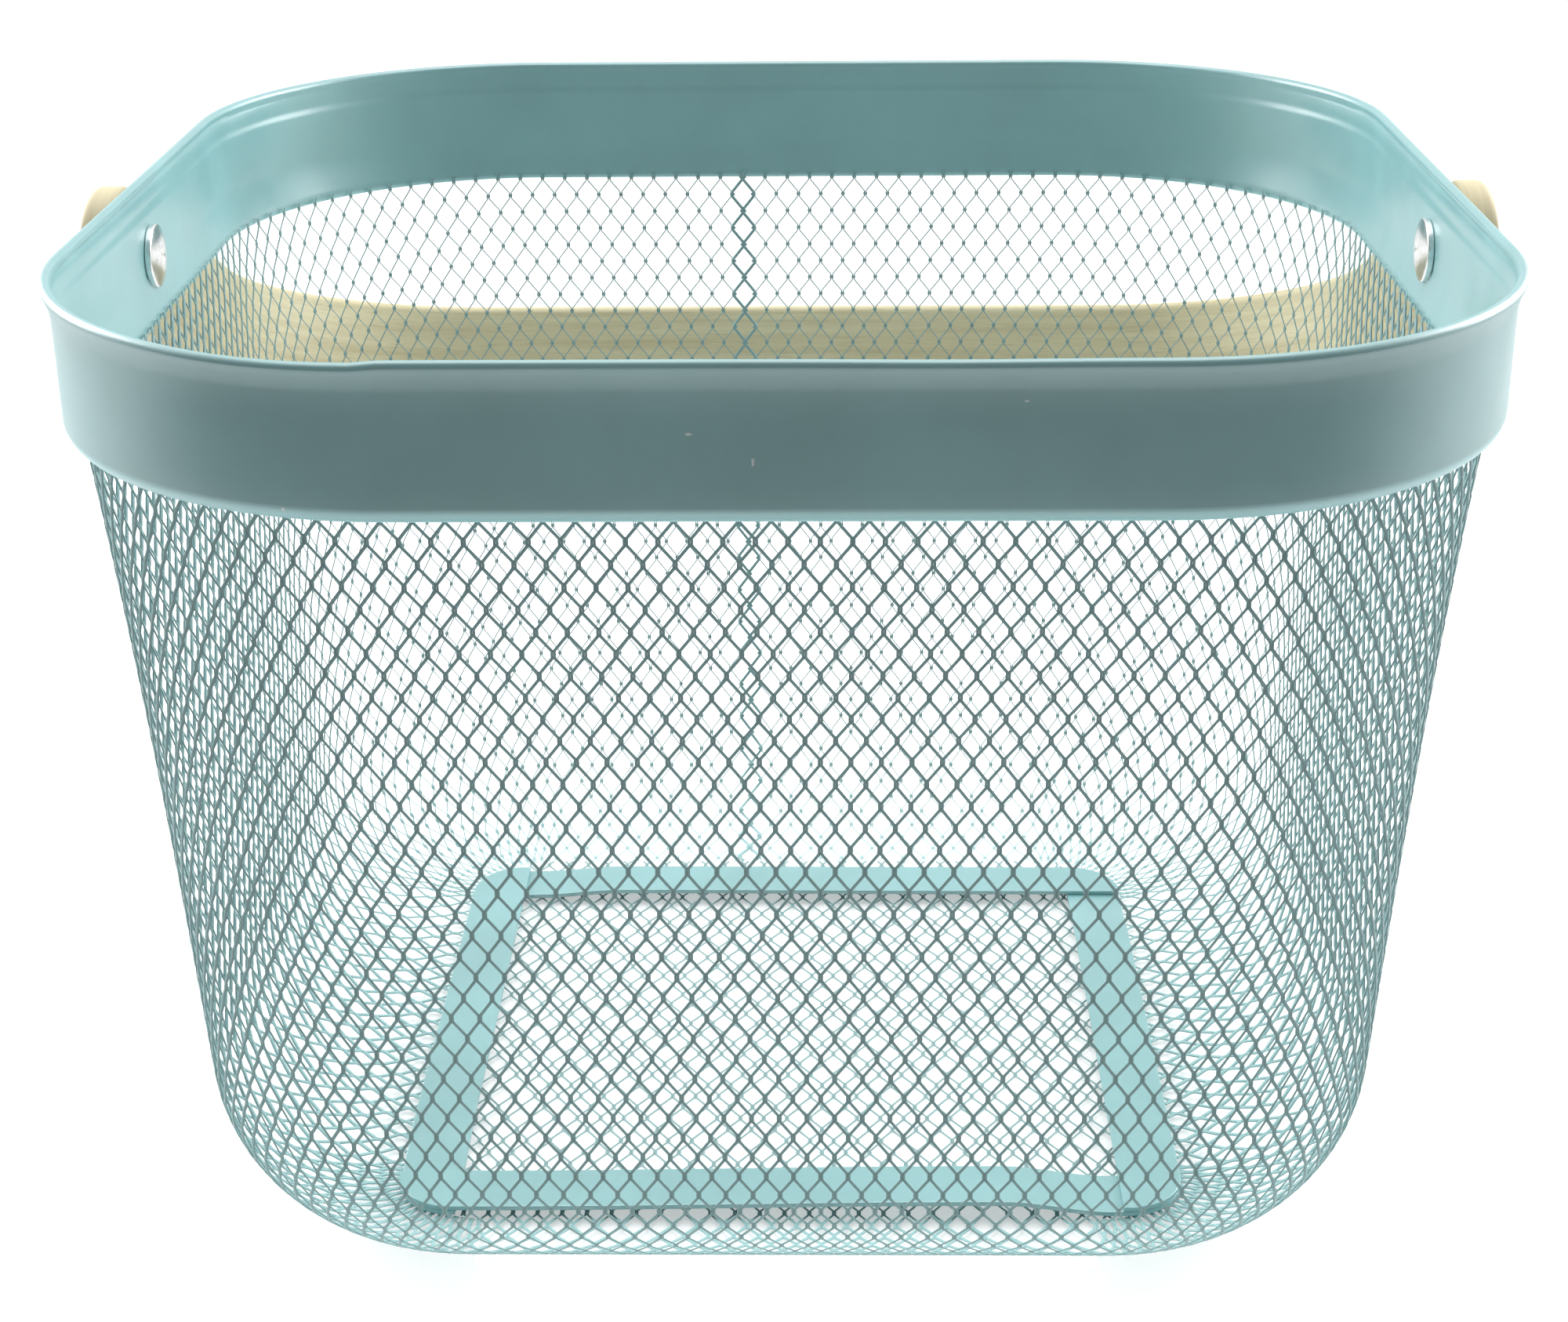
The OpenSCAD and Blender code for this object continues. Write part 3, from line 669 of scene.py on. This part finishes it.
class BASKET_OT_walls(Operator):
    """Makes the expanded mesh of the tub, one piece for each run, with the lapped seam at the back."""
    bl_idname = "basket.walls"
    bl_label = "Mesh Walls"

    def execute(self, context):
        settings = context.scene.basket
        mesh, finish, lay = settings.mesh, settings.finish, lay_out(settings)
        # The mesh coat takes the darker mesh paint: painted shade on the strands.
        coat = powder_coat("mesh_coat", finish, finish.mesh, finish.mesh_index)
        columns = np.arange(mesh.columns) + mesh.phase
        runs = np.floor(column_turn(lay, mesh, columns, lay.mesh_top_r)).astype(int) % 8
        seam = columns[np.argmin(np.abs(columns - mesh.columns / 2 - mesh.seam))]

        def surface(column, s):
            return tub_surface(lay, mesh, column, s)

        def length_at(p):
            return np.interp(p, (lay.first, mesh.top_count, lay.last), (0, lay.top_len, lay.mesh_len))

        def tilt_at(point):
            risen = np.clip((point[..., 2] - mesh.pressed) / mesh.rise, 0, 1)
            return mesh.floor_tilt + (mesh.tilt - mesh.floor_tilt) * risen

        def lattice(columns, **lapped):
            columns, hands = np.repeat(columns, 2), np.tile([1, -1], len(columns))
            away = 0.5 - np.abs(np.mod(columns / mesh.columns, 1) - 0.5)
            wide, thin = 1 + mesh.side, 1 - mesh.drawn
            strand = mesh.strand * np.interp(away, STRAND_STOPS, (1, wide, wide, thin))
            span = lay.first, lay.last
            return ribbons(surface, columns, hands, strand, span, mesh, length_at, tilt_at, **lapped)

        for k, run in enumerate(RUNS):
            parts = [lattice(columns[runs == k])]
            if run == "back":
                parts.append(lattice([seam], sunk=mesh.lap, thick=mesh.lapped))
            points, quads, caps = merge(parts)
            # The mesh is painted lighter low on the bend, as painted bounce light from the floor.
            make_piece(f"mesh_wall_{run}", points, quads, caps, coat, nodes=[f"mesh_{run}", f"foot_{run}"],
                       sharp=70, turned=mesh.foot_bounce_light * np.clip(1 - points[:, 2] / mesh.bend, 0, 1))
        return {"FINISHED"}


class BASKET_OT_floor(Operator):
    """Makes the flat mesh floor, whose ribbons run on from those of the front wall."""
    bl_idname = "basket.floor"
    bl_label = "Mesh Floor"

    def execute(self, context):
        settings = context.scene.basket
        mesh, lay = settings.mesh, lay_out(settings)
        reach = lay.core + lay.bend_c
        middle = mesh.sheet / 2
        edge, _, _ = tub_surface(lay, mesh, np.array([mesh.phase, mesh.phase + 1]), np.full(2, lay.mesh_len))
        start, pitch = edge[0, 0], edge[1, 0] - edge[0, 0]

        def surface(column, s):
            point = np.stack([start + column * pitch, s, np.full(s.shape, middle)], -1)
            tangent = np.broadcast_to([1.0, 0, 0], point.shape)
            normal = np.broadcast_to([0, 0, -1.0], point.shape)
            return point, tangent, normal

        def length_at(p):
            return (p - lay.last) * mesh.floor_row - reach[1]

        def tilt_at(point):
            return np.full(point.shape[:-1], mesh.floor_tilt)

        side = reach[0] - pitch / 2
        columns = np.arange(math.ceil((-side - start) / pitch), (side - start) / pitch)
        past = np.clip(np.abs(start + columns * pitch) + pitch / 2 - lay.core[0], 0, lay.bend_c)
        short = lay.bend_c - np.sqrt(lay.bend_c ** 2 - past ** 2)
        parts = []
        for step in np.unique(short):
            these = np.repeat(columns[short == step], 2)
            hands = np.tile([1, -1], len(these) // 2)
            strand = np.full(len(these), mesh.strand * (1 - mesh.drawn / 2))
            span = lay.last + step / mesh.floor_row, lay.last + (2 * reach[1] - step) / mesh.floor_row
            parts.append(ribbons(surface, these, hands, strand, span, mesh, length_at, tilt_at))
        coat = bpy.data.materials["mesh_coat"]
        make_piece("mesh_bottom", *merge(parts), coat, nodes=["mesh_floor"], sharp=70)
        return {"FINISHED"}


class BASKET_OT_strips(Operator):
    """Makes the four flat strips on the floor, each lying on the one before it and under the next."""
    bl_idname = "basket.strips"
    bl_label = "Floor Frame"

    def execute(self, context):
        settings = context.scene.basket
        sizes, finish = settings.frame, settings.finish
        coat = powder_coat("strip_coat", finish, finish.paint, finish.sheet_index)
        for name, turn in (("front", 0), ("right", 90), ("back", 180), ("left", 270)):
            low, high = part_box(f"frame_strip_{name}")
            cross = 0 if turn % 180 else 1
            long, deep = high[1 - cross] - low[1 - cross], max(high[cross], -low[cross])
            u, v, z = self.sweep(sizes, long, sizes.front_bow if name == "front" else sizes.bow)
            cos, sin = round(math.cos(math.radians(turn))), round(math.sin(math.radians(turn)))
            x, y = u - long / 2, v - deep
            points = np.stack([x * cos - y * sin, x * sin + y * cos, low.z + z], -1)
            points[..., 1 - cross] += (low[1 - cross] + high[1 - cross]) / 2
            make_piece(f"floor_strip_{name}", points, *tube(*z.shape), coat, nodes=[f"frame_strip_{name}"],
                       sharp=20)
        return {"FINISHED"}

    def sweep(self, sizes, long, bow):
        """Strip from its upper end at u = 0: a flat section with rounded edges, carried along a lifted line.

        The outer corners narrow the section by a quarter circle at both ends. The line is level over the lap,
        rises by half a cosine wave to the crest, and falls by another to the floor before the tucked end.
        """
        tips = sizes.edge * (1 - np.cos(np.radians([35, 60, 90])))
        round_off = sizes.corner * (1 - np.cos(np.radians(np.linspace(25, 90, 10))))
        near = np.concatenate([tips, round_off])
        straight = np.linspace(sizes.corner, long - sizes.corner, 60)[1:-1]
        u = np.concatenate([near, straight, long - near[::-1]])
        end = np.minimum(u, long - u)
        inset = sizes.edge - np.sqrt(sizes.edge ** 2 - np.maximum(sizes.edge - end, 0) ** 2)
        outer = sizes.corner - np.sqrt(sizes.corner ** 2 - np.maximum(sizes.corner - end, 0) ** 2)
        turn = np.radians(np.arange(4)[:, None] * 90 - 90 + np.array([0, 45, 90]))
        edge = (sizes.edge - inset)[:, None, None]
        inner = np.full(len(u), sizes.strip - sizes.edge)
        wide = np.stack([inner, inner, outer + sizes.edge, outer + sizes.edge], 1)[..., None]
        top = sizes.thick - sizes.edge
        tall = np.array([sizes.edge, top, top, sizes.edge])[None, :, None]
        v = (wide + edge * np.cos(turn)).reshape(len(u), -1)
        z = (tall + edge * np.sin(turn)).reshape(len(u), -1)
        crest, tuck = sizes.crest * long, long - sizes.lap
        rise = bow * (1 - np.cos(math.pi * np.clip((u - sizes.lap) / (crest - sizes.lap), 0, 1))) / 2
        fall = (1 + np.cos(math.pi * np.clip((u - crest) / (tuck - crest), 0, 1))) / 2
        return np.broadcast_to(u[:, None], v.shape), v, z + ((sizes.thick + rise) * fall)[:, None]


class BASKET_OT_handle(Operator):
    """Makes the bent wooden strap, lying at its rest angle behind the basket."""
    bl_idname = "basket.handle"
    bl_label = "Bow Handle"

    def execute(self, context):
        settings = context.scene.basket
        sizes, lay = settings.handle, lay_out(settings)
        _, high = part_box("handle_bow")
        middle = high.x - sizes.thick / 2
        bend = sizes.bend + sizes.thick / 2
        reach = settings.rim.depth / 2 + sizes.clear + sizes.thick / 2
        rest = math.radians((PIVOT["range_deg"][1] - 180) / 2)
        cross, turn, arm = middle - bend, bend * math.pi / 2, reach - bend
        whole, half_w, half_t = cross + turn + arm, sizes.width / 2, sizes.thick / 2
        tip = whole + half_w * np.sin(np.radians(np.linspace(0, 88, END_STEPS)))
        along = np.concatenate([np.linspace(0, cross, CROSS_STEPS, endpoint=False),
                                np.linspace(cross, cross + turn, BEND_STEPS, endpoint=False),
                                np.linspace(cross + turn, whole, ARM_STEPS, endpoint=False), tip])
        along = np.concatenate([-along[:0:-1], along])
        a, hand = np.abs(along), np.sign(along)
        round_by = np.clip((a - cross) / bend, 0, math.pi / 2)
        x = hand * (np.minimum(a, cross) + bend * np.sin(round_by))
        y = arm + bend * np.cos(round_by) - np.maximum(a - cross - turn, 0)
        out = np.stack([hand * np.sin(round_by), np.cos(round_by)], 1)
        wide = np.sqrt(np.maximum(half_w ** 2 - np.maximum(a - whole, 0) ** 2, 0))
        quarters = np.arange(4)[:, None] * 90 + np.linspace(0, 90, EDGE_STEPS)
        corner = np.radians(quarters.ravel())
        sign_t, sign_w = (np.repeat(signs, EDGE_STEPS) for signs in ((1, -1, -1, 1), (1, 1, -1, -1)))
        edge = np.minimum(sizes.edge, wide)[:, None]
        t = sign_t * (half_t - sizes.edge) + sizes.edge * np.cos(corner)
        w = sign_w * (wide[:, None] - edge) + edge * np.sin(corner)
        px = x[:, None] + out[:, :1] * t
        py = y[:, None] + out[:, 1:] * t
        points = np.stack([px, py * math.cos(rest) + w * math.sin(rest),
                           lay.pivot_z - py * math.sin(rest) + w * math.cos(rest)], -1)
        rows, sides = px.shape
        ring = np.stack([t, w[rows // 2]])
        girth = np.concatenate([[0], np.cumsum(np.hypot(*np.diff(ring, append=ring[:, :1])))])
        i, j = np.meshgrid(np.arange(rows - 1), np.arange(sides), indexing="ij")
        grain = np.stack([np.stack([along[i + di], girth[j + dj]], -1)
                          for di, dj in ((0, 0), (1, 0), (1, 1), (0, 1))], 2).reshape(-1, 4, 2)
        make_piece("bow_strap", points, *tube(rows, sides), bent_birch(settings.finish), body="handle",
                   nodes=["handle_bow"], slot="birch", sharp=50, grain=grain)
        return {"FINISHED"}


class BASKET_OT_pivots(Operator):
    """Makes the rivets with their spacers and washers on both sides."""
    bl_idname = "basket.pivots"
    bl_label = "Pivots"

    def execute(self, context):
        settings = context.scene.basket
        sizes, lay = settings.rivet, lay_out(settings)
        plating, nylon = bright_plating(settings.finish), moulded_nylon(settings.finish)
        for name, side in SIDES.items():
            self.rivet(name, side, sizes, lay, plating)
            self.ring(f"washer_{name}", side, sizes, lay, plating, "plated", sizes.washer_edge)
            self.ring(f"spacer_{name}", side, sizes, lay, nylon, "spacer", sizes.spacer_edge)
        return {"FINISHED"}

    def rivet(self, name, side, sizes, lay, plating):
        """Rivet turned from one profile: dimple, dome, edge, shank and the hollow rolled-over end."""
        seat = lay.core[0] + lay.band_in
        low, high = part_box(f"rivet_{name}")
        end = high.x if side > 0 else -low.x
        washer_low, washer_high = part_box(f"washer_{name}")
        tail = washer_high.x if side > 0 else -washer_low.x
        crown = seat - sizes.head_edge - sizes.head_rise
        dome = (sizes.head ** 2 + sizes.head_rise ** 2) / (2 * sizes.head_rise)
        spot = np.linspace(sizes.dimple + BREAK, sizes.head - sizes.head_round, 12)
        dome_x = crown + dome - np.sqrt(dome ** 2 - spot ** 2)
        pit, round_at = crown + sizes.dimple_depth, seat - sizes.head_edge + BREAK
        roll, bottom = (end - tail) / 2, end - sizes.hollow_depth
        profile = np.concatenate([
            [(pit, AXIS_GAP), (pit, 0.55 * sizes.dimple), (pit - BREAK, 0.9 * sizes.dimple),
             (crown + 0.3 * BREAK, sizes.dimple + BREAK / 4)],
            np.stack([dome_x, spot], 1),
            arc((round_at, sizes.head - sizes.head_round), sizes.head_round, 135, 90, 4),
            [(seat - BREAK, sizes.head), (seat, sizes.head - BREAK), (seat, sizes.shank), (tail, sizes.shank),
             (tail, sizes.tail - roll * 0.3)],
            arc((tail + roll, sizes.tail - roll), roll, 120, 0, 9),
            [(end, sizes.hollow + 3 * BREAK), (end - 0.75 * BREAK, sizes.hollow + BREAK),
             (end - 2.5 * BREAK, sizes.hollow), (bottom, sizes.hollow), (bottom, AXIS_GAP)],
        ])
        points = lathe(profile, side, lay.pivot_z)
        make_piece(f"rivet_turned_{name}", points, *tube(*points.shape[:2]), plating, nodes=[f"rivet_{name}"],
                   slot="plated", sharp=35)

    def ring(self, node, side, sizes, lay, material, slot, edge):
        """Flat ring round the shank with rounded outer edges, as long as its solid."""
        low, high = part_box(node)
        near, far = (low.x, high.x) if side > 0 else (-high.x, -low.x)
        outer = (high.z - low.z) / 2
        bore = sizes.shank + sizes.bore_gap
        profile = np.concatenate([[(near, bore)], arc((near + edge, outer - edge), edge, 180, 90, 5),
                                  arc((far - edge, outer - edge), edge, 90, 0, 5), [(far, bore)]])
        points = lathe(profile, side, lay.pivot_z)
        make_piece(f"{node}_ring", points, grid_quads(*points.shape[:2], True, True), (), material,
                   nodes=[node], slot=slot, sharp=35)


class BASKET_OT_stage(Operator):
    """Sets the pale floor, the white surroundings, the soft lamps and the camera."""
    bl_idname = "basket.stage"
    bl_label = "Stage"

    def execute(self, context):
        scene = context.scene
        scene.view_settings.view_transform = "Standard"
        self.floor()
        self.world(scene)
        for lamp in LAMPS:
            self.lamp(*lamp)
        self.camera(scene)
        return {"FINISHED"}

    def floor(self):
        """Wide square floor just under the basket, with a faint mottle. The camera sees it nearly white."""
        u = np.linspace(-FLOOR_HALF, FLOOR_HALF, FLOOR_POINTS)
        x, y = np.meshgrid(u, u, indexing="ij")
        points = np.stack([x, y, np.full(x.shape, -FLOOR_DROP)], -1).reshape(-1, 3)
        mesh = bpy.data.meshes.new("floor")
        mesh.from_pydata(points.tolist(), [], grid_quads(*x.shape).tolist())
        material, tree = new_finish("floor_white", 0.5)
        tree.nodes.remove(tree.nodes["Principled BSDF"])
        place = add(tree, "TexCoord", output="Object")
        out = add(tree, "VectorMath", {0: place}, "Value", operation="LENGTH")
        mottle = spread(tree, noise(tree, place, scale=4), 0.3, 0.7, -0.01, 0.01)
        tone = add(tree, "Math", {0: spread(tree, out, *FLOOR_TONE), 1: mottle})
        matt = add(tree, "BsdfDiffuse", {"Color": tone})
        mirrored = spread(tree, add(tree, "SeparateXYZ", {"Vector": place}, "Y"), *FLOOR_MIRRORED)
        strength = self.seen(tree, mirrored, spread(tree, out, *FLOOR_WHITE))
        glow = add(tree, "Emission", {"Color": (1, 1, 1, 1), "Strength": strength})
        both = add(tree, "AddShader", {0: matt, 1: glow})
        tree.links.new(both, tree.nodes["Material Output"].inputs["Surface"])
        mesh.materials.append(material)
        new_object("floor", mesh)

    def seen(self, tree, mirrored, direct, other=0.0):
        """One strength for camera, transmitted and mirrored rays, another for those that light the object."""
        shown = add(tree, "LightPath", output="Is Glossy Ray")
        shown = add(tree, "Math", {0: shown, 1: mirrored}, operation="MULTIPLY")
        for ray in ("Is Camera Ray", "Is Transmission Ray"):
            shown = add(tree, "Math", {0: shown, 1: add(tree, "LightPath", output=ray)}, operation="MAXIMUM")
        return add(tree, "Mix", {"Factor": shown, "A": other, "B": direct}, data_type="FLOAT")

    def world(self, scene):
        """White to the eye, and a soft dome of light that is dimmer from the front."""
        world = bpy.data.worlds.new("surroundings")
        world.use_nodes = True
        tree = world.node_tree
        dome = tree.nodes["Background"]
        ahead = add(tree, "SeparateXYZ", {"Vector": add(tree, "TexCoord", output="Generated")}, "Y")
        soft, mirrored = spread(tree, ahead, *WORLD_SOFT), spread(tree, ahead, *WORLD_MIRRORED)
        dome.inputs["Color"].default_value = (1, 1, 1, 1)
        tree.links.new(self.seen(tree, mirrored, 1.0, soft), dome.inputs["Strength"])
        scene.world = world

    def lamp(self, name, place, aim, size, power):
        """Square soft lamp, turned to its aim."""
        data = bpy.data.lights.new(name, "AREA")
        data.size = size
        data.energy = power
        lamp = new_object(name, data)
        lamp.location = place
        lamp.rotation_euler = (Vector(aim) - Vector(place)).to_track_quat("-Z", "Y").to_euler()

    def camera(self, scene):
        """Camera at the photograph's place, rolled, then pitched down from level, then turned by its yaw."""
        yaw, pitch, roll = (math.radians(v) for v in CAMERA_TURN)
        turns = ((-yaw, "Z"), (math.pi / 2 - pitch, "X"), (roll, "Z"))
        first, second, third = (Matrix.Rotation(by, 4, axis) for by, axis in turns)
        data = bpy.data.cameras.new("camera")
        data.sensor_fit = "HORIZONTAL"
        data.sensor_width = CAMERA_SENSOR
        data.lens = CAMERA_LENS
        data.clip_start = 0.01
        camera = new_object("camera", data)
        camera.matrix_world = Matrix.Translation(CAMERA_PLACE) @ first @ second @ third
        scene.camera = camera


class BASKET_PT_panel(Panel):
    """Lists the basket's settings and the operators that make its pieces."""
    bl_idname = "BASKET_PT_panel"
    bl_label = "Produce Basket"
    bl_space_type = "VIEW_3D"
    bl_region_type = "UI"
    bl_category = "Basket"

    def draw(self, context):
        for group in ("rim", "mesh", "frame", "handle", "rivet", "finish"):
            box = self.layout.box()
            sizes = getattr(context.scene.basket, group)
            for name in sizes.__annotations__:
                box.prop(sizes, name)
        for operator in OPERATORS:
            self.layout.operator(operator.bl_idname)


GROUPS = (RimSizes, MeshSizes, FrameSizes, HandleSizes, RivetSizes, Finishes, BasketSettings)
OPERATORS = (BASKET_OT_band, BASKET_OT_walls, BASKET_OT_floor, BASKET_OT_strips, BASKET_OT_handle,
             BASKET_OT_pivots, BASKET_OT_stage)


def register():
    """Registers the classes and hangs the settings on the scene."""
    for item in (*GROUPS, *OPERATORS, BASKET_PT_panel):
        bpy.utils.register_class(item)
    bpy.types.Scene.basket = PointerProperty(type=BasketSettings)


def unregister():
    """Takes the settings and the classes away again."""
    del bpy.types.Scene.basket
    for item in reversed((*GROUPS, *OPERATORS, BASKET_PT_panel)):
        bpy.utils.unregister_class(item)


def main():
    register()
    for operator in OPERATORS:
        getattr(bpy.ops.basket, operator.bl_idname.split(".")[1])()


if __name__ == "__main__":
    main()
